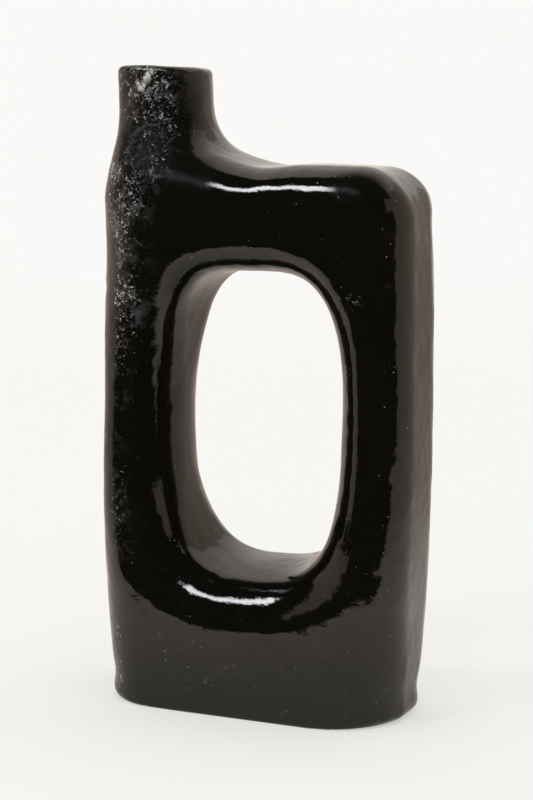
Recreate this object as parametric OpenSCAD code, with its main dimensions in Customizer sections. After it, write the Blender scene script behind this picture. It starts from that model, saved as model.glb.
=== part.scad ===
// A hand-built black clay vase. It is a rounded slab body with an oval opening right
// through it and a short neck above its left-hand column.
// Each slab, strip and coil of clay is its own piece, laid edge to edge against its neighbours.
// Millimetres. +X runs to the right, the front face looks along -Y and +Z is up.
// The origin is the middle of the underside.

/* [Body] */
// Width of the body where it is widest
body_w = 167; // [163:1:176]
// Depth from the front face to the back face
body_d = 76; // [72:1:86]
// Height of the shoulder
shoulder_z = 278; // [274:1:290]
// Thickness of every clay wall
wall = 7; // [5:0.5:7.5]
// Rounding of the long outer edges
edge_r = 16; // [14:1:17]
// Rounding of the two upper corners, seen from the front
corner_r = 26; // [22:1:28]

/* [Bulge of the sides] */
// Radius of the left side's curve
left_r = 1200; // [1000:50:1600]
// Height at which the left side is widest
left_z = 112; // [100:1:124]
// Radius of the right side's curve
right_r = 3600; // [2400:100:5000]
// Height at which the right side is widest
right_z = 200; // [150:1:220]

/* [Opening] */
// Width of the opening's throat
open_w = 108; // [100:1:110]
// Height of the opening's throat
open_h = 157; // [140:1:160]
// Height of the opening's middle
open_z = 149; // [144:1:152]
// Distance of the opening's middle to the right of the body's middle
open_x = 1; // [-1:0.5:2]
// Rounding of the lips that roll from the throat onto the faces
lip_r = 9; // [8:0.5:10]

/* [Base] */
// Thickness of the base slab
base_h = 9; // [7:0.5:12]
// How far the base slab stands out past the walls
base_proud = 1; // [0.5:0.5:2]
// Width and height of the coil pressed into the seam inside the base
seam_coil = 6; // [4:0.5:8]

/* [Neck] */
// Full height of the vase
total_h = 324; // [320:1:334]
// Distance of the neck's axis to the left of the body's middle
neck_left = 55; // [54:0.5:56]
// Outer radius of the neck
neck_r = 23; // [22:0.5:24]
// Radius of the mouth and of the bore below it
mouth_r = 16.5; // [14:0.5:17]
// Height of the coil that finishes the mouth
rim_h = 7; // [6:0.5:9]
// Radius of the hollow curve from the neck onto the shoulder
fillet_r = 24; // [18:1:26]

/* [Hidden] */
round_fn = 96;       // facets of a full turn
side_fn = 1440;      // the same for the two very long curves
$fn = round_fn;
clay = "#1b1817";
far = 400;           // longer than any part of the vase
rim_round = 3;       // rounding of the rim's two edges
neck_foot = 12;      // how far the neck reaches down the left side below the corner
collar_in = 1.5;     // how far the collar stops short of the body's left side
collar_foot = 35;    // radius of the collar's foot
collar_edge = 1;     // how far the hollow curve's foot stops short of the collar's foot
seam_gap = 1;        // how far the seam coil stands off the walls inside
left_turn = 10;      // degrees that the left strip is swept either way, before it is cut level
right_turn = 5;      // the same on the right, whose curve is longer

face_y = body_d / 2; // distance of each face from the middle plane
flat_y = face_y - edge_r;
corner_z = shoulder_z - corner_r;

// Middles of the two sides' long curves, in X and Z
left_c = [left_r - body_w / 2, left_z];
right_c = [body_w / 2 - right_r, right_z];

// Where a side's curve stands at a height, to the nearest hundredth
function side_x(middle, radius, sign, z) =
  round(100 * (middle[0] + sign * sqrt(radius * radius - pow(z - middle[1], 2)))) / 100;
top_left = side_x(left_c, left_r, -1, corner_z);
top_right = side_x(right_c, right_r, 1, corner_z);
base_left = side_x(left_c, left_r, -1, base_h);
base_right = side_x(right_c, right_r, 1, base_h);

// Middles of the upper corners
corner_lx = top_left + corner_r;
corner_rx = top_right - corner_r;

// The opening's throat is two straight sides between two half circles
half_w = open_w / 2;
end_up = (open_h - open_w) / 2;

// Middle of the hollow curve between the neck and the shoulder
neck_x = -neck_left;
fillet_x = neck_x + neck_r + fillet_r;
fillet_z = shoulder_z + fillet_r;

// ---- flat shapes ----

// Section of a strip's rolled edge, from its seam (x = 0) out to its outer face.
// inset shrinks it all round.
module edge_section(inset) {
  r = edge_r - inset;
  translate([0, -flat_y]) square([r, 2 * flat_y]);
  for (s = [-1, 1])
    intersection() {
      translate([0, s * flat_y]) circle(r);
      translate([0, s > 0 ? flat_y : -flat_y - r]) square([r, r]);
    }
}

// Hollow section of a strip: one wall thick, open towards the inside of the vase
module strip_section() {
  difference() {
    edge_section(0);
    edge_section(wall);
  }
}

// Filled section of the body's edge, reaching further in past the seam
module filled_section() {
  edge_section(0);
  translate([-edge_r / 2, -face_y]) square([edge_r / 2, body_d]);
}

// The body inside the rolled edges, seen from the front, in X and Z
module outline() {
  r = corner_r - edge_r;
  intersection() {
    translate(left_c) circle(left_r - edge_r, $fn = side_fn);
    translate(right_c) circle(right_r - edge_r, $fn = side_fn);
    translate([-far / 2, base_h]) square([far, corner_z - base_h]);
  }
  translate([corner_lx, corner_z]) square([corner_rx - corner_lx, r]);
  for (x = [corner_lx, corner_rx])
    intersection() {
      translate([x, corner_z]) circle(r);
      translate([x - r, corner_z]) square([2 * r, r]);
    }
}

// The opening's oval, grown by a margin
module oval(grow) {
  for (s = [-1, 1]) translate([0, s * end_up]) circle(half_w + grow);
  translate([-half_w - grow, -end_up]) square([open_w + 2 * grow, 2 * end_up]);
}

// Plan of the walls where they stand on the base, shrunk by inset
module plan(inset) {
  r = edge_r - inset;
  for (x = [base_left + edge_r, base_right - edge_r], y = [-flat_y, flat_y])
    translate([x, y]) circle(r);
  translate([base_left + inset, -flat_y])
    square([base_right - base_left - 2 * inset, 2 * flat_y]);
  translate([base_left + edge_r, -face_y + inset])
    square([base_right - base_left - 2 * edge_r, body_d - 2 * inset]);
}

// ---- ways to sweep a flat shape ----

// Stand a flat shape drawn in X and Z upright; it runs forwards from from_y
module upright(from_y, depth) {
  translate([0, from_y, 0]) rotate([90, 0, 0]) linear_extrude(depth) children();
}

// Turn a section about a point of the front view, from one angle to another
module bend(middle, from, to, fn = round_fn) {
  translate([middle[0], 0, middle[1]]) rotate([90, 0, 0]) rotate([0, 0, from])
    rotate_extrude(angle = to - from, $fn = fn) let($fn = round_fn) children();
}

// Run a section straight along X, with its outer side upwards
module level(from_x, to_x, z) {
  translate([from_x, 0, z]) rotate([0, 90, 0]) rotate([0, 0, 180])
    linear_extrude(to_x - from_x) children();
}

// Run a section straight up, with its outer side towards +X
module plumb(x, from_z, to_z) {
  translate([x, 0, from_z]) linear_extrude(to_z - from_z) children();
}

// Take a section all the way round the opening, with its outer side away from the middle
module round_opening() {
  translate([open_x, 0, open_z]) {
    bend([0, end_up], 0, 180) translate([half_w, 0]) children();
    bend([0, -end_up], 180, 360) translate([half_w, 0]) children();
    plumb(half_w, -end_up, end_up) mirror([0, 1]) children();
    mirror([1, 0, 0]) plumb(half_w, -end_up, end_up) mirror([0, 1]) children();
  }
}

// Keep only what stands between two heights
module between(low, high) {
  intersection() {
    children();
    translate([-far / 2, -far / 2, low]) cube([far, far, high - low]);
  }
}

// A side's strip, cut off level on the base slab and under the upper corner
module side_strip(middle, radius, from, to) {
  color(clay) between(base_h, corner_z)
    bend(middle, from, to, side_fn) translate([radius - edge_r, 0]) strip_section();
}

// The bore of the neck, run down through the shoulder
module neck_bore() {
  translate([neck_x, 0, corner_z]) cylinder(r = mouth_r, h = far);
}

// Cut away what lies inside the body's outer surface at its upper left
module sit_on_body() {
  difference() {
    children();
    between(0, corner_z)
      bend(left_c, 180 - left_turn, 180, side_fn) translate([left_r - edge_r, 0]) filled_section();
    bend([corner_lx, corner_z], 90, 180) translate([corner_r - edge_r, 0]) filled_section();
    level(corner_lx, corner_rx, shoulder_z - edge_r) filled_section();
    translate([corner_lx - corner_r / 2, -face_y, corner_z - corner_r])
      cube([2 * corner_r, body_d, 2 * corner_r - edge_r]);
  }
}

// ---- the pieces ----

module base_slab() {
  color(clay) linear_extrude(base_h) plan(-base_proud);
}

module base_seam_coil() {
  color(clay) translate([0, 0, base_h]) linear_extrude(seam_coil) difference() {
    plan(wall + seam_gap);
    plan(wall + seam_gap + seam_coil);
  }
}

// One flat slab, cut to the body's outline and round the opening
module face_slab() {
  difference() {
    outline();
    translate([open_x, open_z]) oval(lip_r);
  }
}

module front_wall() {
  color(clay) upright(wall - face_y, wall) face_slab();
}

module back_wall() {
  color(clay) upright(face_y, wall) face_slab();
}

module left_wall() {
  side_strip(left_c, left_r, 180 - left_turn, 180 + left_turn);
}

module right_wall() {
  side_strip(right_c, right_r, -right_turn, right_turn);
}

module shoulder() {
  color(clay) difference() {
    union() {
      bend([corner_lx, corner_z], 90, 180) translate([corner_r - edge_r, 0]) strip_section();
      bend([corner_rx, corner_z], 0, 90) translate([corner_r - edge_r, 0]) strip_section();
      level(corner_lx, corner_rx, shoulder_z - edge_r) strip_section();
    }
    neck_bore();
  }
}

module opening_lining() {
  color(clay) translate([open_x, 0, open_z]) upright(face_y - lip_r, body_d - 2 * lip_r)
    difference() {
      oval(wall);
      oval(0);
    }
}

// A coil that rolls the throat over onto a face; side is 1 at the front and -1 at the back
module lip(side) {
  color(clay) round_opening() intersection() {
    translate([lip_r, side * (face_y - lip_r)]) difference() {
      circle(lip_r);
      circle(lip_r - wall);
    }
    translate([0, side > 0 ? face_y - lip_r : -face_y]) square(lip_r);
  }
}

module front_lip_coil() {
  lip(1);
}

module back_lip_coil() {
  lip(-1);
}

module neck() {
  color(clay) difference() {
    sit_on_body() translate([neck_x, 0, corner_z - neck_foot])
      cylinder(r = neck_r, h = total_h - rim_h - corner_z + neck_foot);
    neck_bore();
  }
}

// Clay pressed round the foot of the neck: a cone, and a hollow curve onto the shoulder
module neck_collar() {
  foot_z = shoulder_z - edge_r;
  foot_half = collar_foot - collar_edge;  // half the hollow curve's depth at its foot
  top_half = neck_r / 2;                  // and at its top
  color(clay) sit_on_body() difference() {
    union() {
      intersection() {
        translate([neck_x, 0, foot_z])
          cylinder(r1 = collar_foot, r2 = neck_r, h = 2 * (collar_foot - neck_r));
        translate([top_left + collar_in, 0, foot_z]) linear_extrude(far) {
          for (s = [-1, 1]) translate([edge_r, s * flat_y]) circle(edge_r);
          translate([0, -flat_y]) square([far, 2 * flat_y]);
          translate([edge_r, -face_y]) square([far, body_d]);
        }
      }
      intersection() {
        upright(face_y, body_d) difference() {
          translate([neck_x, foot_z]) square([fillet_x - neck_x, fillet_z - foot_z]);
          translate([fillet_x, fillet_z]) circle(fillet_r);
        }
        level(neck_x, fillet_x, foot_z) polygon([
          [0, -foot_half], [0, foot_half],
          [fillet_z - foot_z, top_half], [fillet_z - foot_z, -top_half]
        ]);
      }
    }
    translate([neck_x, 0, 0]) cylinder(r = neck_r, h = far);
  }
}

module rim_coil() {
  inner = mouth_r + rim_round;
  outer = neck_r - rim_round;
  color(clay) translate([neck_x, 0, total_h - rim_h]) rotate_extrude() {
    translate([mouth_r, 0]) square([neck_r - mouth_r, rim_h - rim_round]);
    translate([inner, 0]) square([outer - inner, rim_h]);
    for (x = [inner, outer]) translate([x, rim_h - rim_round]) circle(rim_round);
  }
}

base_slab();
base_seam_coil();
front_wall();
back_wall();
left_wall();
right_wall();
shoulder();
opening_lining();
front_lip_coil();
back_lip_coil();
neck();
neck_collar();
rim_coil();
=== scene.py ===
"""A hand-built, glossy black clay vase with an oval opening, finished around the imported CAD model.

The pot is one smooth implicit shape, worked out from the CAD pieces' boxes: a rounded slab body,
a neck and a rolled opening, hollowed to an even wall. It is meshed once, given the hollows and
ripples of hand work, and cut where the clay pieces meet, so each CAD node gets its own closed
piece and the surface runs on smoothly over the joints, as it does on the fired pot.
Lengths inside the shape functions are in millimetres, and everything in Blender is in metres.
"""
import math

import bpy
import numpy as np
from mathutils import Matrix, Vector

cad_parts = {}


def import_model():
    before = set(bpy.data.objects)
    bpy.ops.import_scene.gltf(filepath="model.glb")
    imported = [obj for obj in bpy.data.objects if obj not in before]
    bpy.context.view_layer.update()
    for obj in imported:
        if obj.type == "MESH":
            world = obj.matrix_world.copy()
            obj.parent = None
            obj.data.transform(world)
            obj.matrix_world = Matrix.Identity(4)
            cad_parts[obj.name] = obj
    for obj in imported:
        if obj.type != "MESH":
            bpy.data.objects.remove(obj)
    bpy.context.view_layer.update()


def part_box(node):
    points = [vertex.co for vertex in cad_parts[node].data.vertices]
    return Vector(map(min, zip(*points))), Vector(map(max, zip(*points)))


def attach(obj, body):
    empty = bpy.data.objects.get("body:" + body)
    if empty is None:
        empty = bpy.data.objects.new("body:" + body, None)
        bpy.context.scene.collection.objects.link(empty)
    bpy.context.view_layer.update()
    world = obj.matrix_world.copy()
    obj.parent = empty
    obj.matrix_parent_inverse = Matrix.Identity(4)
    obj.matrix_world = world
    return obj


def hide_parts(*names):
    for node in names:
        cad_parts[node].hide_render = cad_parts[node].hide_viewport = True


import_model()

MM = 0.001
GRID = 1.5  # spacing of the meshing grid, mm


# ---------------------------------------------------------------- sizes from the frame

def box_mm(node):
    """Lowest and highest corner of a CAD node, in millimetres."""
    low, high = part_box(node)
    return np.array(low) / MM, np.array(high) / MM


left_low, left_high = box_mm("left_wall")
right_low, right_high = box_mm("right_wall")
front_low, front_high = box_mm("front_wall")
shoulder_low, shoulder_high = box_mm("shoulder")
lining_low, lining_high = box_mm("opening_lining")
lip_low, lip_high = box_mm("front_lip_coil")
rim_low, rim_high = box_mm("rim_coil")
collar_high = box_mm("neck_collar")[1]
base_high = box_mm("base_slab")[1]

WALL = front_high[1] - front_low[1]
LEFT_X = left_low[0]
RIGHT_X = right_high[0]
FACE_Y = -front_low[1]
SHOULDER_Z = shoulder_high[2]
CORNER_Z = shoulder_low[2]
BASE_H = base_high[2]
TOP_Z = rim_high[2]
# the hole in the two slabs: its middle and half its sizes
CUT_X = (lining_low[0] + lining_high[0]) / 2
CUT_Z = (lining_low[2] + lining_high[2]) / 2
CUT_HALF_W = (lining_high[0] - lining_low[0]) / 2 - WALL
CUT_HALF_H = (lining_high[2] - lining_low[2]) / 2 - WALL
LINING_Y = lining_high[1]
LIP_GROW = (lip_high[0] - lip_low[0]) / 2 - CUT_HALF_W  # how far the lip coils reach past the hole
NECK_X = (rim_low[0] + rim_high[0]) / 2
NECK_R = (rim_high[0] - rim_low[0]) / 2


# ---------------------------------------------------------------- the shape, in millimetres

# The sides and faces drift in and out by a few millimetres up the body: (height, drift)
LEFT_DRIFT = [(0, 5.8), (40, 1.7), (95, -1.1), (150, 0.3), (190, 0.5), (211, 1.2), (240, 6.0),
              (270, 9.6)]
RIGHT_DRIFT = [(0, 6.8), (40, 3.1), (90, 1.0), (150, -0.3), (210, 0.2), (270, 1.9)]
FACE_DRIFT = [(0, 1.5), (60, 0.2), (160, 0.0), (270, 1.6)]
SIDE_EDGE_R = 27.0     # rounding of the upright edges
TOP_EDGE_R = 21.0      # rounding of the shoulder's edges
FOOT_WEAR = 9.0        # extra rounding at the foot's front right-hand corner, which is worn
FOOT_WEAR_H = 70.0     # height over which that wear fades out
CORNER_R = 24.0        # rounding of the upper corners, seen from the front
SHOULDER_FALL = 0.037  # fall of the shoulder per millimetre to the right
NECK_LEAN = -0.028     # lean of the neck, millimetres of X per millimetre of height
NECK_POWER = 2.4       # the neck is a little squarer than round
BLEND = 30.0           # how widely the neck's foot melts into the shoulder
NECK_FADE = 40.0       # keeps the neck's shape out of the body below the shoulder
DIP = 2.6              # how far the shoulder sags beside the neck's foot
DIP_X = 4.0            # where it sags most
DIP_WIDTH = 14.0
RIM_R = 3.2            # rounding of the mouth's outer edge
RIM_INSIDE_R = 2.6     # and of its inner edge
RIM_LIFT = 0.8         # the rim stands this much above the CAD at its left-hand side
RIM_FALL = 1.3         # and falls this much to its right-hand side
FOOT_R = 1.0           # rounding of the foot's edge in the middle
FOOT_RIGHT_R = 3.5     # more of it to the right
FOOT_LEFT_R = 1.5      # and to the left
HOLLOW_R = 3.0         # rounding between the base and the walls, inside
OPEN_X = CUT_X + 1.1   # the throat is narrowest halfway through, here
OPEN_Z = CUT_Z + 1.2
OPEN_HALF_W = CUT_HALF_W - 9.7
OPEN_HALF_H = CUT_HALF_H - 4.5
LIP_SIDE_R = 37.0      # rounding of the opening's two lips at the sides, each nearly half the depth
LIP_HEAD_R = 21.0      # the same at the top
LIP_FOOT_R = 19.0      # the same at the bottom, in front
LIP_HEEL_R = 18.0      # and behind
SILL_Y = 14.0          # the opening's sill is highest here, behind the middle of the wall
SILL_R = 125.0         # and curves widely down to both sides of that line
SILL_DROP = 2.2        # how far the highest line lies below the throat's oval
HOLE_DEEP = 40.0       # distances inside the hole are held at this
HEAD_POWER = 3.6       # the opening is squarer than an ellipse above
FOOT_POWER = 3.0       # and less so below
# The opening sways a little to the left lower down: (height, sway)
OPEN_SWAY = [(75, -2.6), (95, -2.2), (120, -2.4), (155, -2.0), (190, -0.4), (226, -0.2)]


def along(z, knots):
    """A smooth curve through given (height, value) knots."""
    heights, values = (np.array(c, float) for c in zip(*knots))
    slopes = np.gradient(values, heights)
    i = np.clip(np.searchsorted(heights, z) - 1, 0, len(heights) - 2)
    step = heights[i + 1] - heights[i]
    t = np.clip((z - heights[i]) / step, 0, 1)
    start = (2 * t**3 - 3 * t**2 + 1) * values[i] + (t**3 - 2 * t**2 + t) * step * slopes[i]
    end = (3 * t**2 - 2 * t**3) * values[i + 1] + (t**3 - t**2) * step * slopes[i + 1]
    return start + end


def smoothstep(low, high, v):
    t = np.clip((v - low) / (high - low), 0, 1)
    return t * t * (3 - 2 * t)


def meet(a, b, r):
    """Intersection of two solids with its edge rounded to radius r."""
    outside = np.hypot(np.maximum(r + a, 0), np.maximum(r + b, 0))
    return np.minimum(-r, np.maximum(a, b)) + outside


def melt(a, b, k):
    """Union of two solids blended over a width k."""
    h = np.maximum(k - np.abs(a - b), 0) / np.maximum(k, 1e-6)
    return np.minimum(a, b) - h * h * k * 0.25


def body_distance(x, y, z):
    """Distance outside the body without its neck and opening, negative inside."""
    left = LEFT_X + along(z, LEFT_DRIFT)
    right = RIGHT_X - along(z, RIGHT_DRIFT)
    middle = (left + right) / 2
    side = np.abs(x - middle) - (right - left) / 2
    top = z - (SHOULDER_Z - SHOULDER_FALL * x - DIP * np.exp(-((x - DIP_X) / DIP_WIDTH) ** 2))
    outline = meet(side, top, CORNER_R)
    face = np.abs(y) - FACE_Y + along(z, FACE_DRIFT)
    front_right = smoothstep(-10, 30, x) * (1 - smoothstep(-12, 6, y))
    wear = FOOT_WEAR * front_right * (1 - smoothstep(0, FOOT_WEAR_H, z))
    shoulder = smoothstep(SHOULDER_Z - 30, SHOULDER_Z - 8, z)
    edge_r = SIDE_EDGE_R + (TOP_EDGE_R - SIDE_EDGE_R) * shoulder + wear
    return meet(outline, face, edge_r)


def neck_distance(x, y, z):
    """Distance outside an endless upright neck."""
    axis_x = NECK_X + NECK_LEAN * (z - SHOULDER_Z)
    u = np.abs(x - axis_x) / NECK_R
    v = np.abs(y) / NECK_R
    ring = (u**NECK_POWER + v**NECK_POWER) ** (1 / NECK_POWER)
    return (ring - 1) * NECK_R


def opening_distance(x, z):
    """Distance outside the opening's throat, negative inside the hole."""
    across = x - OPEN_X - along(z, OPEN_SWAY)
    up = z - OPEN_Z
    power = FOOT_POWER + (HEAD_POWER - FOOT_POWER) * smoothstep(-20, 20, up)
    u, v = np.abs(across / OPEN_HALF_W), np.abs(up / OPEN_HALF_H)
    ring = (u**power + v**power) ** (1 / power)
    slope = np.hypot(u ** (power - 1) / OPEN_HALF_W, v ** (power - 1) / OPEN_HALF_H)
    slope = slope / np.maximum(ring, 1e-6) ** (power - 1)
    return np.maximum((ring - 1) / np.maximum(slope, 1e-4), -HOLE_DEEP)


def roll_lips(solid, x, y, z):
    """Open the solid and roll the edges: widely at the sides, less below and least above."""
    dx, dz = x - OPEN_X, z - OPEN_Z
    upness = dz / np.maximum(np.hypot(dx * OPEN_HALF_H / OPEN_HALF_W, dz), 1e-6)
    head = smoothstep(0.1, 0.9, upness)
    foot = smoothstep(0.3, 0.9, -upness)
    foot_r = np.where(y < 0, LIP_FOOT_R, LIP_HEEL_R)
    radius = LIP_SIDE_R + (LIP_HEAD_R - LIP_SIDE_R) * head + (foot_r - LIP_SIDE_R) * foot
    sill = SILL_DROP + (y - SILL_Y) ** 2 / (2 * SILL_R)
    return meet(solid, sill * foot - opening_distance(x, z), radius)


def clay_distance(x, y, z):
    """The pot's outside without its mouth cut off, negative in the clay or the hollow."""
    # the neck only stands above the body, and melts into it over its upper part
    buried = 1 - smoothstep(SHOULDER_Z - 90, SHOULDER_Z - 60, z)
    neck = neck_distance(x, y, z) + NECK_FADE * buried
    blend = BLEND * smoothstep(SHOULDER_Z - 108, SHOULDER_Z - 16, z)
    solid = melt(body_distance(x, y, z), neck, blend)
    return roll_lips(solid, x, y, z)


def shell_distance(p):
    """Distance outside the hollow pot's clay, for points p of shape (n, 3)."""
    x, y, z = p.T
    uncut = clay_distance(x, y, z)
    rim_fall = RIM_FALL * smoothstep(-0.2, 1.0, (x - NECK_X) / NECK_R)
    outer = meet(uncut, z - (TOP_Z + RIM_LIFT - rim_fall), RIM_R)
    foot_r = FOOT_R + FOOT_RIGHT_R * smoothstep(35, 70, x) + FOOT_LEFT_R * smoothstep(35, 70, -x)
    outer = meet(outer, -z, foot_r)
    hollow = meet(uncut + WALL, BASE_H - z, HOLLOW_R)
    return meet(outer, -hollow, RIM_INSIDE_R)


# ---------------------------------------------------------------- hand work on the surface

def waves(seed, count, wavelength):
    """Random plane waves: (wave vectors, phases), for ripples about one wavelength wide."""
    rng = np.random.default_rng(seed)
    way = rng.normal(size=(count, 3))
    way /= np.linalg.norm(way, axis=1, keepdims=True)
    size = rng.uniform(0.7, 1.4, (count, 1)) * 2 * np.pi / wavelength
    return way * size, rng.uniform(0, 2 * np.pi, count)


def ripple(p, wave_set):
    """A smooth random field of about unit strength."""
    vectors, phases = wave_set
    return np.sin(p @ vectors.T + phases).sum(1) * math.sqrt(2 / len(phases))


SWELL = waves(11, 14, 70)
HOLLOWS = waves(12, 24, 26)
DIMPLES = waves(13, 30, 9.5)
CHIPS = waves(14, 36, 6.0)
CHIPS_MIX = waves(15, 20, 17)
SWELL_H = 0.24
HOLLOWS_H = 0.06
DIMPLES_H = 0.028
CHIPS_H = 0.07
PROUD_H = 1.0     # how far the base slab's edge stands out at both ends
PROUD_Z = 5.0
GROOVE_H = 0.5    # depth of the line pressed in above it
GROOVE_Z = 15.0

# Marks pressed by a thumb or tool: from, to, radius and depth. A depth below zero is a ridge.
MARKS = [
    ((NECK_X + 19, -12, TOP_Z - 15), (NECK_X + 19, -12, TOP_Z - 15), 5.0, 0.9),
    ((NECK_X + 12, -20, TOP_Z - 30), (NECK_X + 14, -18, TOP_Z - 44), 8.0, 0.6),
    ((NECK_X - 12, -20, TOP_Z - 12), (NECK_X - 12, -20, TOP_Z - 12), 6.0, 0.8),
    ((NECK_X + 2, -23, TOP_Z - 2), (NECK_X - 4, -23, TOP_Z - 11), 1.8, -0.5),
    ((NECK_X - 8, -30, SHOULDER_Z - 14), (NECK_X - 8, -30, SHOULDER_Z - 14), 7.0, 0.4),
    ((64, -FACE_Y, 262), (74, -36, 262), 28.0, -1.6),
    ((60, -FACE_Y, 212), (60, -FACE_Y, 212), 4.0, 0.35),
]

# Places where the gloss is scratched or chipped away, and painted glints, among them the painted bright
# line along the neck's fold: from, to, radius and strength
SCARS_AND_GLINTS = [
    ((NECK_X + 2, -23, TOP_Z - 2), (NECK_X - 4, -23, TOP_Z - 11), 1.2, 0.85),
    ((NECK_X + 1, -23, TOP_Z - 12), (NECK_X + 5, -23, TOP_Z - 10), 2.0, 0.3),
    ((NECK_X - 3, -30, SHOULDER_Z - 2), (NECK_X + 2, -30, SHOULDER_Z), 1.8, 1.0),
    ((NECK_X - 7, -34, SHOULDER_Z - 16), (NECK_X - 3, -34, SHOULDER_Z - 13), 1.6, 0.9),
    ((NECK_X - 17, -26, SHOULDER_Z - 9), (NECK_X - 17, -26, SHOULDER_Z - 3), 1.7, 0.8),
    ((60, -FACE_Y, 208), (60, -FACE_Y, 214), 5.0, 0.42),
    ((-69, -30, 8), (-68, -32, 40), 6.5, 0.50),
    ((-30, -FACE_Y, 14), (0, -FACE_Y, 26), 10.0, 0.30),
    ((24, -FACE_Y, 6), (27, -FACE_Y, 8), 2.0, 0.7),
]

# Places where the clay was left unpolished and hardly shines, written the same way
DULL = [
    ((NECK_X + 4, -32, SHOULDER_Z - 10), (NECK_X + 10, -24, SHOULDER_Z + 22), 15.0, 1.8),
    ((NECK_X + 12, -34, SHOULDER_Z - 12), (-24, -34, SHOULDER_Z - 8), 9.0, 1.8),
    ((57, -34, SHOULDER_Z - 10), (66, -34, SHOULDER_Z - 10), 8.0, 1.8),
]


def stroke(p, start, end, radius):
    """1 on the line from start to end, fading out over about two radii."""
    start, way = np.array(start), np.subtract(end, start)
    share = np.clip((p - start) @ way / max(way @ way, 1e-9), 0, 1)
    return np.exp(-((p - start - share[:, None] * way) ** 2).sum(1) / radius**2)


def scar_and_glint_zone(p):
    """How badly the gloss is scratched away, with painted glints, 0 upwards."""
    return sum(strength * stroke(p, *where) for *where, strength in SCARS_AND_GLINTS)


def dull_zone(p):
    """How little the surface shines, 0 to 1."""
    return np.minimum(sum(strength * stroke(p, *where) for *where, strength in DULL), 1)


def worn_zone(p):
    """How much the surface is chipped and chattered, 0 to 1: the neck and left-hand column."""
    x, y, z = p.T
    # the column's worn part is narrower lower down, and its edge wanders
    drift = 4 * np.sin(z / 17) + 3 * np.sin(z / 7.3 + 1)
    narrowing = 15 * (1 - smoothstep(110, 230, z))
    column = smoothstep(64, 100, z) * (1 - smoothstep(-60, -36, x + drift + narrowing))
    neck = smoothstep(SHOULDER_Z - 30, SHOULDER_Z, z) * (1 - smoothstep(-48, -30, x))
    # it covers the front and, more faintly, the left side
    edge_y = -34 + 20 * smoothstep(SHOULDER_Z - 45, SHOULDER_Z + 5, z)
    front = 1 - smoothstep(edge_y - 2, edge_y + 4, y)
    side = 0.3 * (1 - smoothstep(-80, -74, x))
    return np.clip(np.maximum(column, neck) * np.maximum(front, side), 0, 1)


def hand_work(p):
    """Height of the hand-made relief at points p, in millimetres."""
    x, y, z = p.T
    relief = SWELL_H * ripple(p, SWELL) + HOLLOWS_H * ripple(p, HOLLOWS)
    relief = relief + DIMPLES_H * ripple(p, DIMPLES)
    chips = CHIPS_H * (np.abs(ripple(p, CHIPS)) - 0.6) * (0.6 + 0.4 * ripple(p, CHIPS_MIX))
    relief = relief + chips * worn_zone(p)
    for start, end, radius, depth in MARKS:
        relief = relief - depth * stroke(p, start, end, radius)
    proud = PROUD_H * np.exp(-((z - PROUD_Z) / 4.5) ** 2)
    proud = proud - GROOVE_H * np.exp(-((z - GROOVE_Z) / 6) ** 2)
    relief = relief + proud * smoothstep(60, 76, np.abs(x))
    grounded = smoothstep(0.0, 3.0, z)
    return relief * grounded


def finished_distance(p):
    """Distance outside the pot with its hand work."""
    return shell_distance(p) - hand_work(p)


def gradient(p, field, h=0.05):
    """Central differences of a field at points p."""
    out = np.empty_like(p)
    for axis in range(3):
        step = np.zeros(3)
        step[axis] = h
        out[:, axis] = (field(p + step) - field(p - step)) / (2 * h)
    return out


# ---------------------------------------------------------------- meshing

def surface_net(field, origin, step):
    """Vertices and quads of a field's zero surface: one vertex per grid cell that it crosses."""
    inside = field < 0
    cells = np.array(field.shape) - 1
    n_cells = int(np.prod(cells))
    weight = np.array([cells[1] * cells[2], cells[2], 1])
    total = np.zeros((n_cells, 3))
    count = np.zeros(n_cells)
    quads = []
    for axis in range(3):
        low = [slice(None)] * 3
        high = [slice(None)] * 3
        low[axis], high[axis] = slice(None, -1), slice(1, None)
        low, high = tuple(low), tuple(high)
        edge = np.argwhere(inside[low] != inside[high])
        a, b = field[low][tuple(edge.T)], field[high][tuple(edge.T)]
        at = edge.astype(float)
        at[:, axis] += a / (a - b)
        u, v = (axis + 1) % 3, (axis + 2) % 3
        around = []
        for du, dv in ((0, 0), (1, 0), (1, 1), (0, 1)):
            cell = edge.copy()
            cell[:, u] -= du
            cell[:, v] -= dv
            number = cell @ weight
            around.append(number)
            count += np.bincount(number, minlength=n_cells)
            for k in range(3):
                total[:, k] += np.bincount(number, weights=at[:, k], minlength=n_cells)
        quad = np.stack(around, 1)
        outward = inside[low][tuple(edge.T)]
        quads.append(np.where(outward[:, None], quad, quad[:, ::-1]))
    used = np.flatnonzero(count)
    index = np.full(n_cells, -1)
    index[used] = np.arange(len(used))
    points = origin + step * total[used] / count[used, None]
    return points, index[np.concatenate(quads)]


STEP_LIMIT = 1.5  # a vertex moves no further than this in one step, mm


def pot_mesh():
    """The whole hollow pot as one closed mesh, in metres, with hand-made relief."""
    pad = 3 * GRID
    low = np.array([LEFT_X, -FACE_Y, 0]) - pad
    high = np.array([RIGHT_X, FACE_Y, TOP_Z]) + pad
    shape = np.ceil((high - low) / GRID).astype(int) + 1
    axes = [low[k] + GRID * np.arange(shape[k]) for k in range(3)]
    points = np.stack(np.meshgrid(*axes, indexing="ij"), -1).reshape(-1, 3)
    field = shell_distance(points).reshape(shape)
    points, quads = surface_net(field, low, GRID)
    # a few Newton steps bring each vertex onto the finished surface
    for _ in range(3):
        slope = gradient(points, finished_distance)
        push = finished_distance(points) / np.maximum((slope**2).sum(1), 0.2)
        points = points - slope * np.clip(push, -STEP_LIMIT, STEP_LIMIT)[:, None]
    points[:, 2] = np.maximum(points[:, 2], 0)
    mesh = bpy.data.meshes.new("pot")
    mesh.from_pydata((points * MM).tolist(), [], quads.tolist())
    mesh.validate()
    return mesh


# ---------------------------------------------------------------- cutting at the joints

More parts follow.
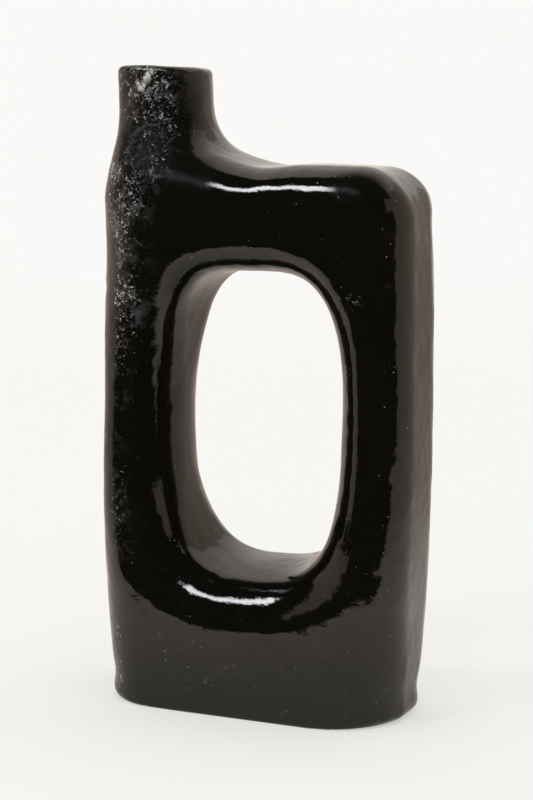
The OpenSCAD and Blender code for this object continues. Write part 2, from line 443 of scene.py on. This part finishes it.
def add_object(name, mesh):
    piece = bpy.data.objects.new(name, mesh)
    bpy.context.scene.collection.objects.link(piece)
    return piece


def prism(outline, low, high, axis):
    """A closed prism over a flat outline. Axis "y" takes (x, z) points, axis "z" takes (x, y)."""
    n = len(outline)
    if axis == "y":
        points = [(a, depth, b) for depth in (low, high) for a, b in outline[::-1]]
    else:
        points = [(a, b, depth) for depth in (low, high) for a, b in outline]
    faces = [tuple(range(n - 1, -1, -1)), tuple(range(n, 2 * n))]
    faces += [(i, (i + 1) % n, n + (i + 1) % n, n + i) for i in range(n)]
    return points, faces


def block(low, high):
    """A box between two corners, as points and faces."""
    (x0, y0, z0), (x1, y1, z1) = low, high
    return prism([(x0, y0), (x1, y0), (x1, y1), (x0, y1)], z0, z1, "z")


def oval_prism(grow, low_y, high_y, steps=96):
    """A prism along Y over the opening's own outline, grown by a margin."""
    straight = CUT_HALF_H - CUT_HALF_W
    r = CUT_HALF_W + grow
    outline = []
    for i in range(steps):
        t = 2 * math.pi * (i + 0.5) / steps
        lift = straight if math.sin(t) > 0 else -straight
        outline.append((CUT_X + r * math.cos(t), CUT_Z + lift + r * math.sin(t)))
    return prism(outline, low_y, high_y, "y")


def lathe(axis_x, profile, steps=64):
    """A closed solid turned about an upright axis, from (radius, height) points, bottom up."""
    points = []
    for r, z in profile:
        for i in range(steps):
            t = 2 * math.pi * i / steps
            points.append((axis_x + r * math.cos(t), r * math.sin(t), z))
    faces = [tuple(range(steps - 1, -1, -1))]
    for row in range(len(profile) - 1):
        for i in range(steps):
            j = (i + 1) % steps
            a, b = row * steps, (row + 1) * steps
            faces.append((a + i, a + j, b + j, b + i))
    top = (len(profile) - 1) * steps
    faces.append(tuple(range(top, top + steps)))
    return points, faces


FAR = 300.0        # well outside the pot
SEAM_INSET = 16.0  # the side walls' seams lie halfway from the CAD strips' faces to this far in
SEAM_LEFT = (left_high[0] + LEFT_X + SEAM_INSET) / 2
SEAM_RIGHT = (right_low[0] + RIGHT_X - SEAM_INSET) / 2
STRIP_TOP = CORNER_Z + 10             # the shoulder's seam between its corners
STRIP_LEFT = NECK_X - 8               # where that seam steps down at the left
STRIP_RIGHT = RIGHT_X - 18            # and at the right
COLLAR_FOOT = SHOULDER_Z - 4
NECK_SEAT = SHOULDER_Z - 8            # where the neck's cut begins to widen


def zones():
    """(CAD node, solid that holds the node's share of what is left), in the order of cutting."""
    collar_top = collar_high[2]
    neck_profile = [
        (NECK_R - 4.0, NECK_SEAT - 14), (NECK_R - 3.0, NECK_SEAT), (NECK_R + 5, collar_top),
        (NECK_R + 20, collar_top + 0.1), (NECK_R + 20, rim_low[2]),
    ]
    corners = [
        (-FAR, CORNER_Z), (STRIP_LEFT, CORNER_Z), (STRIP_LEFT, STRIP_TOP),
        (STRIP_RIGHT, STRIP_TOP), (STRIP_RIGHT, CORNER_Z), (FAR, CORNER_Z),
        (FAR, FAR), (-FAR, FAR),
    ]
    return [
        ("base_slab", block((-FAR, -FAR, -FAR), (FAR, FAR, BASE_H))),
        ("rim_coil", block((-FAR, -FAR, rim_low[2]), (FAR, FAR, 2 * FAR))),
        ("neck", lathe(NECK_X, neck_profile)),
        ("neck_collar", block((-FAR, -FAR, COLLAR_FOOT), (collar_high[0], FAR, 2 * FAR))),
        ("shoulder", prism(corners, -FAR, FAR, "y")),
        ("front_lip_coil", oval_prism(LIP_GROW, -FAR, -LINING_Y)),
        ("back_lip_coil", oval_prism(LIP_GROW, LINING_Y, FAR)),
        ("opening_lining", oval_prism(LIP_GROW, -LINING_Y - 1, LINING_Y + 1)),
        ("left_wall", block((-FAR, -FAR, -FAR), (SEAM_LEFT, FAR, FAR))),
        ("right_wall", block((SEAM_RIGHT, -FAR, -FAR), (FAR, FAR, FAR))),
        ("front_wall", block((-FAR, -FAR, -FAR), (FAR, 0, FAR))),
    ]


def cut(whole, knife, operation):
    """The whole's share inside (INTERSECT) or outside (DIFFERENCE) the knife, as a new mesh."""
    worker = add_object("worker", whole.copy())
    boolean = worker.modifiers.new("cut", "BOOLEAN")
    boolean.operation = operation
    boolean.solver = "MANIFOLD"
    boolean.object = knife
    boolean.material_mode = "INDEX"
    shape = worker.evaluated_get(bpy.context.evaluated_depsgraph_get())
    result = bpy.data.meshes.new_from_object(shape)
    bpy.data.objects.remove(worker)
    return result


def knife_object(points, faces, materials):
    """A cutting solid, whose cuts carry the second material."""
    mesh = bpy.data.meshes.new("knife")
    mesh.from_pydata([(x * MM, y * MM, z * MM) for x, y, z in points], [], faces)
    for material in materials:
        mesh.materials.append(material)
    for face in mesh.polygons:
        face.material_index = 1
    return add_object("knife", mesh)


def split_pot(whole, materials):
    """{CAD node: mesh}: the pot cut into one closed piece per node."""
    for material in materials:
        whole.materials.append(material)
    shares = {}
    for node, (points, faces) in zones():
        knife = knife_object(points, faces, materials)
        shares[node] = cut(whole, knife, "INTERSECT")
        whole = cut(whole, knife, "DIFFERENCE")
        bpy.data.objects.remove(knife)
    shares["back_wall"] = whole
    return shares


NORMAL_STEP = 0.12  # spacing of the differences that give the normals, mm
ALONG_FACE = 0.35   # a smooth normal is used where its cosine to the face's own is above this


def finish_surface(mesh):
    """Smooth normals from the shape itself on the glazed faces, flat ones on the joints."""
    n = len(mesh.vertices)
    co = np.empty(n * 3)
    mesh.vertices.foreach_get("co", co)
    points = co.reshape(-1, 3) / MM
    slope = gradient(points, finished_distance, NORMAL_STEP)
    slope /= np.maximum(np.linalg.norm(slope, axis=1, keepdims=True), 1e-9)
    corner_vertex = np.empty(len(mesh.loops), int)
    mesh.loops.foreach_get("vertex_index", corner_vertex)
    counts = np.empty(len(mesh.polygons), int)
    joint = np.empty(len(mesh.polygons), int)
    flat = np.empty(len(mesh.polygons) * 3)
    mesh.polygons.foreach_get("loop_total", counts)
    mesh.polygons.foreach_get("material_index", joint)
    mesh.polygons.foreach_get("normal", flat)
    flat = np.repeat(flat.reshape(-1, 3), counts, axis=0)
    smooth = slope[corner_vertex]
    use_flat = np.repeat(joint == 1, counts) | ((smooth * flat).sum(1) < ALONG_FACE)
    mesh.shade_smooth()
    mesh.normals_split_custom_set(np.where(use_flat[:, None], flat, smooth).tolist())
    for name, zone in (("worn", worn_zone), ("scar_and_glint", scar_and_glint_zone), ("dull", dull_zone)):
        layer = mesh.attributes.new(name, "FLOAT", "POINT")
        layer.data.foreach_set("value", zone(points))


def seam_coil(low, high, steps=160, around=20):
    """The soft coil pressed into the corner inside the foot: a closed, slightly lumpy ring."""
    r = (high[2] - low[2]) / 2
    level = low[2] + r
    turn = np.arange(steps) * 2 * np.pi / steps
    way = np.stack([np.cos(turn), np.sin(turn), np.zeros(steps)], 1)
    # halve the distance in each direction until it is where the coil touches the walls
    near, far = np.zeros(steps), np.full(steps, RIGHT_X + FACE_Y)
    for _ in range(30):
        middle = (near + far) / 2
        x, y, _ = (way * middle[:, None]).T
        deep = clay_distance(x, y, np.full(steps, level)) < -(WALL + 0.6 * r)
        near, far = np.where(deep, middle, near), np.where(deep, far, middle)
    path = way * near[:, None] + [0, 0, level]
    ahead = np.roll(path, -1, 0) - np.roll(path, 1, 0)
    ahead /= np.linalg.norm(ahead, axis=1, keepdims=True)
    side = np.stack([ahead[:, 1], -ahead[:, 0], np.zeros(steps)], 1)
    swell = r * (1 + 0.07 * np.sin(9 * turn) + 0.05 * np.sin(23 * turn + 1))
    angle = np.arange(around) * 2 * np.pi / around
    out = side[:, None] * np.cos(angle)[None, :, None] + [0, 0, 1] * np.sin(angle)[None, :, None]
    points = path[:, None] + out * swell[:, None, None]
    faces = []
    for i in range(steps):
        for j in range(around):
            a, b = i * around, (i + 1) % steps * around
            k = (j + 1) % around
            faces.append((a + j, b + j, b + k, a + k))
    mesh = bpy.data.meshes.new("coil")
    mesh.from_pydata((points.reshape(-1, 3) * MM).tolist(), [], faces)
    mesh.shade_smooth()
    return mesh


# ---------------------------------------------------------------- materials

GLAZE_BLACK = (0.0030, 0.0029, 0.0021, 1)
GLAZE_SOFT_BLACK = (0.0048, 0.0045, 0.0034, 1)
# Pale colour of chips and specks, which also paints glints and sheen of the light where the glaze is
# worn
CHIP_AND_GLINT_GREY = (0.50, 0.49, 0.48, 1)
CLAY_DARK = (0.020, 0.017, 0.015, 1)
CLAY_LIGHT = (0.045, 0.038, 0.033, 1)
# Depths of the relief in the materials, in metres
RIPPLE_DEPTH = 0.00011
HAMMER_DEPTH = 0.00018
PIT_DEPTH = 0.00015
GRAIN_DEPTH = 0.000002
SCORE_DEPTH = 0.0004


class Nodes:
    """Short names for building one material's node tree."""

    def __init__(self, name):
        self.material = bpy.data.materials.new(name)
        self.material.use_nodes = True
        self.tree = self.material.node_tree
        self.shader = self.tree.nodes["Principled BSDF"]
        self.place = self.new("ShaderNodeTexCoord").outputs["Object"]

    def new(self, kind, **settings):
        node = self.tree.nodes.new(kind)
        for key, value in settings.items():
            setattr(node, key, value)
        return node

    def feed(self, socket, value):
        if isinstance(value, bpy.types.NodeSocket):
            self.tree.links.new(value, socket)
        else:
            socket.default_value = value

    def noise(self, scale, detail, roughness=0.55, distortion=0.0):
        node = self.new("ShaderNodeTexNoise")
        self.feed(node.inputs["Vector"], self.place)
        node.inputs["Scale"].default_value = scale
        node.inputs["Detail"].default_value = detail
        node.inputs["Roughness"].default_value = roughness
        node.inputs["Distortion"].default_value = distortion
        return node.outputs["Fac"]

    def spots(self, scale, size):
        """Round specks, 1 at a speck's middle and 0 outside, and a random colour for each."""
        node = self.new("ShaderNodeTexVoronoi", feature="F1")
        self.feed(node.inputs["Vector"], self.place)
        node.inputs["Scale"].default_value = scale
        speck = self.ramp(node.outputs["Distance"], size, size * 0.45)
        return speck, node.outputs["Color"]

    def math(self, operation, a, b):
        node = self.new("ShaderNodeMath", operation=operation)
        self.feed(node.inputs[0], a)
        self.feed(node.inputs[1], b)
        return node.outputs[0]

    def ramp(self, value, low, high, to_low=0.0, to_high=1.0):
        """Straight ramp from to_low at low to to_high at high, held beyond them."""
        node = self.new("ShaderNodeMapRange")
        self.feed(node.inputs["Value"], value)
        node.inputs["From Min"].default_value = low
        node.inputs["From Max"].default_value = high
        node.inputs["To Min"].default_value = to_low
        node.inputs["To Max"].default_value = to_high
        return node.outputs["Result"]

    def mix(self, factor, a, b):
        node = self.new("ShaderNodeMix", data_type="RGBA")
        self.feed(node.inputs["Factor"], factor)
        self.feed(node.inputs["A"], a)
        self.feed(node.inputs["B"], b)
        return node.outputs["Result"]

    def bump(self, height, distance, before=None):
        node = self.new("ShaderNodeBump")
        node.inputs["Strength"].default_value = 1.0
        node.inputs["Distance"].default_value = distance
        self.feed(node.inputs["Height"], height)
        if before is not None:
            self.feed(node.inputs["Normal"], before)
        return node.outputs["Normal"]

    def set(self, name, value):
        self.feed(self.shader.inputs[name], value)


def flecks_and_painted_glints(n, worn, scar_and_glint):
    """How pale the glaze is painted: a few specks anywhere, and where it is worn many chips that are
    partly chipped glaze and partly painted glints of the light, with painted sheen between them.
    """
    speck, speck_id = n.spots(640, 0.24)
    specks = n.math("MULTIPLY", speck, n.ramp(speck_id, 0.87, 0.91))
    specks = n.math("MULTIPLY", specks, n.ramp(n.noise(45, 3.0), 0.42, 0.62, 0.03, 0.6))
    cluster = n.ramp(n.noise(52, 4.0, 0.65), 0.38, 0.56, 0.45, 1.0)
    often = n.math("MULTIPLY", n.math("MULTIPLY", worn, cluster), 0.168)
    # the scar strokes add pale marks: real scratches and painted glints
    often = n.math("ADD", often, n.math("MULTIPLY", scar_and_glint, 0.30))
    # chips: partly chipped glaze, partly painted glints of the light
    chips = n.ramp(n.math("ADD", n.noise(540, 5.0, 0.74, 0.9), often), 0.69, 0.76)
    chips = n.math("MULTIPLY", chips, n.ramp(n.noise(210, 3.0), 0.40, 0.62, 0.2, 1.2))
    # painted sheen: pale clouds standing for the light's reflection broken up on the worn surface
    painted_sheen = n.math("MULTIPLY", n.ramp(n.noise(130, 5.0, 0.65, 0.8), 0.52, 0.75), worn)
    painted_sheen = n.math("MULTIPLY", painted_sheen, n.math("MULTIPLY", cluster, 0.20))
    return n.math("MAXIMUM", n.math("MAXIMUM", specks, chips), painted_sheen)


def glaze_roughness(n, worn, dull, flecks_and_glints):
    """Mostly a hard gloss with faint smears, rougher where it is chipped or unpolished."""
    smears = n.ramp(n.noise(42, 5.0, 0.6, 0.6), 0.42, 0.72, 0.03, 0.07)
    chipped = n.math("MULTIPLY", worn, n.ramp(n.noise(90, 4.0), 0.40, 0.62, 0.02, 0.15))
    rough = n.math("ADD", n.math("ADD", smears, chipped), n.math("MULTIPLY", flecks_and_glints, 0.35))
    return n.math("ADD", rough, n.math("MULTIPLY", dull, 0.2))


def glaze_relief(n, worn, flecks_and_glints):
    """Normals for relief too fine to model: ripples, hammering where worn, pits and grain."""
    ripples = n.bump(n.noise(240, 4.0, 0.6), RIPPLE_DEPTH)
    hammered = n.math("MULTIPLY", n.noise(560, 4.0, 0.7, 0.6), worn)
    hammered = n.bump(hammered, HAMMER_DEPTH, ripples)
    pits = n.bump(n.math("MULTIPLY", flecks_and_glints, -1.0), PIT_DEPTH, hammered)
    return n.bump(n.noise(900, 2.0), GRAIN_DEPTH, pits)


def glaze():
    """Black burnished clay with a hard wet gloss, chipped and pitted on one side, where pale flecks
    also paint glints and sheen of the light.
    """
    n = Nodes("black_glaze")
    worn = n.new("ShaderNodeAttribute", attribute_name="worn").outputs["Fac"]
    scar_and_glint = n.new("ShaderNodeAttribute", attribute_name="scar_and_glint").outputs["Fac"]
    dull = n.new("ShaderNodeAttribute", attribute_name="dull").outputs["Fac"]
    body = n.mix(n.noise(28, 4.0), GLAZE_BLACK, GLAZE_SOFT_BLACK)
    flecks_and_glints = flecks_and_painted_glints(n, worn, scar_and_glint)
    # The pale flecks paint glints and sheen of the light into the colour, besides real chips and specks
    n.set("Base Color", n.mix(flecks_and_glints, body, CHIP_AND_GLINT_GREY))
    n.set("Roughness", glaze_roughness(n, worn, dull, flecks_and_glints))
    n.set("Specular IOR Level", n.ramp(dull, 0.0, 1.0, 0.5, 0.02))
    n.shader.inputs["IOR"].default_value = 1.5
    n.set("Normal", glaze_relief(n, worn, flecks_and_glints))
    return n.material


def bare_clay():
    """The scored clay inside a joint, and the coil pressed in round the foot."""
    n = Nodes("bare_clay")
    n.set("Base Color", n.mix(n.noise(160, 4.0), CLAY_DARK, CLAY_LIGHT))
    n.set("Roughness", n.ramp(n.noise(300, 3.0), 0.3, 0.7, 0.55, 0.8))
    n.set("Normal", n.bump(n.noise(420, 4.0, 0.65), SCORE_DEPTH))
    return n.material


# ---------------------------------------------------------------- the studio

WORLD_WHITE = (0.955, 0.947, 0.93)
REFLECTED_DARK = (0.004, 0.004, 0.003)  # what the glaze mirrors where there is no card
FLOOR_HALF = 9.0
CARD_RADIUS = 2.2
CARD_LOW = -0.1
CEILING_Z = 1.9
CEILING_HALF = 2.3
FRONT_CARD_LOW = 0.21  # the front cards start above the floor, which shows below them
RIGHT_FRONT_TOP = 1.3
LEFT_CARD_TOP = 1.0
WINDOW_RADIUS = 1.13
WINDOW_LOW = 1.17
WINDOW_TOP = 1.54


def paper_material():
    """Matt off-white paper that fades into the colour of the world far from the pot."""
    n = Nodes("white_paper")
    n.shader.inputs["Base Color"].default_value = (0.86, 0.86, 0.825, 1)
    n.shader.inputs["Roughness"].default_value = 0.9
    n.shader.inputs["Specular IOR Level"].default_value = 0.0
    far = n.new("ShaderNodeEmission")
    far.inputs["Color"].default_value = (*WORLD_WHITE, 1)
    reach = n.new("ShaderNodeVectorMath", operation="LENGTH")
    n.feed(reach.inputs[0], n.place)
    blend = n.new("ShaderNodeMixShader")
    n.feed(blend.inputs[0], n.ramp(reach.outputs["Value"], 0.4, 2.6, 0.5, 1.0))
    n.tree.links.new(n.shader.outputs[0], blend.inputs[1])
    n.tree.links.new(far.outputs[0], blend.inputs[2])
    n.tree.links.new(blend.outputs[0], n.tree.nodes["Material Output"].inputs["Surface"])
    return n.material


def glow_material(name, stops):
    """A card that shines: (distance from the pot in metres, colour) stops, blended between."""
    n = Nodes(name)
    n.shader.inputs["Base Color"].default_value = (0, 0, 0, 1)
    n.shader.inputs["Specular IOR Level"].default_value = 0.0
    n.shader.inputs["Emission Strength"].default_value = 1.0
    reach = n.new("ShaderNodeVectorMath", operation="LENGTH")
    n.feed(reach.inputs[0], n.place)
    colour = (*stops[0][1], 1)
    for (near, _), (far, tint) in zip(stops, stops[1:]):
        colour = n.mix(n.ramp(reach.outputs["Value"], near, far), colour, (*tint, 1))
    n.set("Emission Color", colour)
    return n.material


def sheet_object(name, corners, material):
    """A flat sheet of the studio."""
    mesh = bpy.data.meshes.new(name)
    mesh.from_pydata(corners, [], [tuple(range(len(corners)))])
    mesh.materials.append(material)
    sheet = add_object(name, mesh)
    return sheet


def reflected_only(card):
    """A studio card that shows in the glaze and nowhere else."""
    card.visible_camera = False
    card.visible_diffuse = False
    card.visible_shadow = False
    card.visible_transmission = False


def arc_card(name, radius, from_deg, to_deg, low, high, material, steps=24):
    """An upright curved card round the pot. Degrees run from the front (-Y) towards +X."""
    points = []
    for i in range(steps + 1):
        t = math.radians(from_deg + (to_deg - from_deg) * i / steps)
        x, y = radius * math.sin(t), -radius * math.cos(t)
        points += [(x, y, low), (x, y, high)]
    faces = [(2 * i, 2 * i + 2, 2 * i + 3, 2 * i + 1) for i in range(steps)]
    mesh = bpy.data.meshes.new(name)
    mesh.from_pydata(points, [], faces)
    mesh.materials.append(material)
    card = add_object(name, mesh)
    reflected_only(card)


def area_light(name, place, aim, size, power):
    """A soft light that the glaze does not mirror."""
    data = bpy.data.lights.new(name, "AREA")
    data.shape = "RECTANGLE"
    data.size, data.size_y = size
    data.energy = power
    light = bpy.data.objects.new(name, data)
    bpy.context.scene.collection.objects.link(light)
    light.location = place
    light.rotation_euler = (Vector(aim) - Vector(place)).to_track_quat("-Z", "Y").to_euler()
    light.visible_glossy = False


def floor():
    """The pale floor, which the glaze sees as a brown glow lying just below it."""
    half = FLOOR_HALF
    paper = sheet_object("floor", [(-half, -half, 0), (half, -half, 0), (half, half, 0),
                                   (-half, half, 0)], paper_material())
    paper.visible_glossy = False
    # The glow is darker close to the pot: a painted shadow of the pot on the floor, as the glaze
    # mirrors it
    glow = glow_material("floor_glow", [
        (0.07, (0.60, 0.57, 0.53)), (0.24, (1.05, 0.92, 0.84)),
        (0.60, (0.64, 0.53, 0.45)), (2.20, (0.58, 0.47, 0.39)),
    ])
    outline = [(-4, -1.9), (-0.32, -0.20), (-0.27, -0.235), (0.10, -0.235), (0.30, -0.12),
               (0.75, -0.13), (1.0, 0.02), (4, 0.08), (4, 4), (-4, 4)]
    reflected_only(sheet_object("floor_card", [(x, y, -0.001) for x, y in outline], glow))


def cards():
    """The sides, back, ceiling and high window of the room, as the glaze mirrors them."""
    right = glow_material("right_glow", [(0, (0.64, 0.52, 0.43))])
    behind = glow_material("back_glow", [(0, (0.90, 0.84, 0.77))])
    left = glow_material("left_glow", [(0, (0.66, 0.53, 0.45))])
    above = glow_material("ceiling_glow", [(0, (1.10, 0.98, 0.86))])
    window = glow_material("window_glow", [(0, (17.4, 17.9, 18.4))])
    arc_card("right_front_card", CARD_RADIUS, 68, 91, FRONT_CARD_LOW, RIGHT_FRONT_TOP, right)
    arc_card("right_card", CARD_RADIUS, 91, 168, CARD_LOW, CEILING_Z, right)
    arc_card("back_card", CARD_RADIUS, 168, 220, CARD_LOW, CEILING_Z, behind)
    arc_card("left_card", CARD_RADIUS, 220, 276, CARD_LOW, LEFT_CARD_TOP, left)
    arc_card("left_front_card", CARD_RADIUS, 276, 322, FRONT_CARD_LOW, LEFT_CARD_TOP, left)
    half = CEILING_HALF
    ceiling = [(x, y, CEILING_Z) for x, y in ((-half, 0.10), (half, 0.10), (half, half), (-half, half))]
    reflected_only(sheet_object("ceiling_card", ceiling, above))
    arc_card("window_card", WINDOW_RADIUS, 296, 364, WINDOW_LOW, WINDOW_TOP, window)


def world():
    """An even off-white all round, which the glaze sees as nearly black."""
    surround = bpy.data.worlds.new("studio")
    bpy.context.scene.world = surround
    surround.use_nodes = True
    tree = surround.node_tree
    back = tree.nodes["Background"]
    back.inputs["Color"].default_value = (*WORLD_WHITE, 1)
    path = tree.nodes.new("ShaderNodeLightPath")
    dark = tree.nodes.new("ShaderNodeBackground")
    dark.inputs["Color"].default_value = (*REFLECTED_DARK, 1)
    blend = tree.nodes.new("ShaderNodeMixShader")
    tree.links.new(path.outputs["Is Glossy Ray"], blend.inputs[0])
    tree.links.new(back.outputs[0], blend.inputs[1])
    tree.links.new(dark.outputs[0], blend.inputs[2])
    tree.links.new(blend.outputs[0], tree.nodes["World Output"].inputs["Surface"])


def studio():
    """Floor and backdrop, cards for the glaze to mirror, and soft light from the front and above."""
    floor()
    cards()
    area_light("softbox", (-0.535, -1.0, 1.35), (0, 0, 0.15), (0.20, 0.30), 2.6)
    area_light("overhead", (0.2, 0.1, 2.4), (0, 0, 0), (2.6, 2.6), 6.0)
    world()


# ---------------------------------------------------------------- the camera

CAMERA_AZIMUTH = 23.70    # degrees round from the front, towards +X
CAMERA_DISTANCE = 1.0193  # level distance from the pot's middle
CAMERA_HEIGHT = 0.3054
CAMERA_PITCH = 8.27       # degrees below level
CAMERA_ROLL = 0.14        # degrees
CAMERA_VIEW = 22.29       # degrees, over the picture's height


def camera():
    data = bpy.data.cameras.new("camera")
    data.angle = math.radians(CAMERA_VIEW)
    eye = bpy.data.objects.new("camera", data)
    bpy.context.scene.collection.objects.link(eye)
    turn = math.radians(CAMERA_AZIMUTH)
    place = Vector((math.sin(turn), -math.cos(turn), 0)) * CAMERA_DISTANCE
    place.z = CAMERA_HEIGHT
    eye.matrix_world = (
        Matrix.Translation(place)
        @ Matrix.Rotation(turn, 4, "Z")
        @ Matrix.Rotation(math.radians(90 - CAMERA_PITCH), 4, "X")
        @ Matrix.Rotation(math.radians(CAMERA_ROLL), 4, "Z")
    )
    data.clip_start = 0.05
    data.clip_end = 30
    bpy.context.scene.camera = eye


# ---------------------------------------------------------------- putting it together

def build():
    """The camera and studio, then the pot, piece by piece."""
    camera()
    studio()
    materials = [glaze(), bare_clay()]
    shares = split_pot(pot_mesh(), materials)
    for mesh in shares.values():
        finish_surface(mesh)
    coil = seam_coil(*box_mm("base_seam_coil"))
    coil.materials.append(materials[1])
    shares["base_seam_coil"] = coil
    for node, mesh in shares.items():
        piece = add_object(node + "_clay", mesh)
        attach(piece, "root")
        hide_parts(node)


build()
bpy.context.scene.view_settings.view_transform = "Standard"
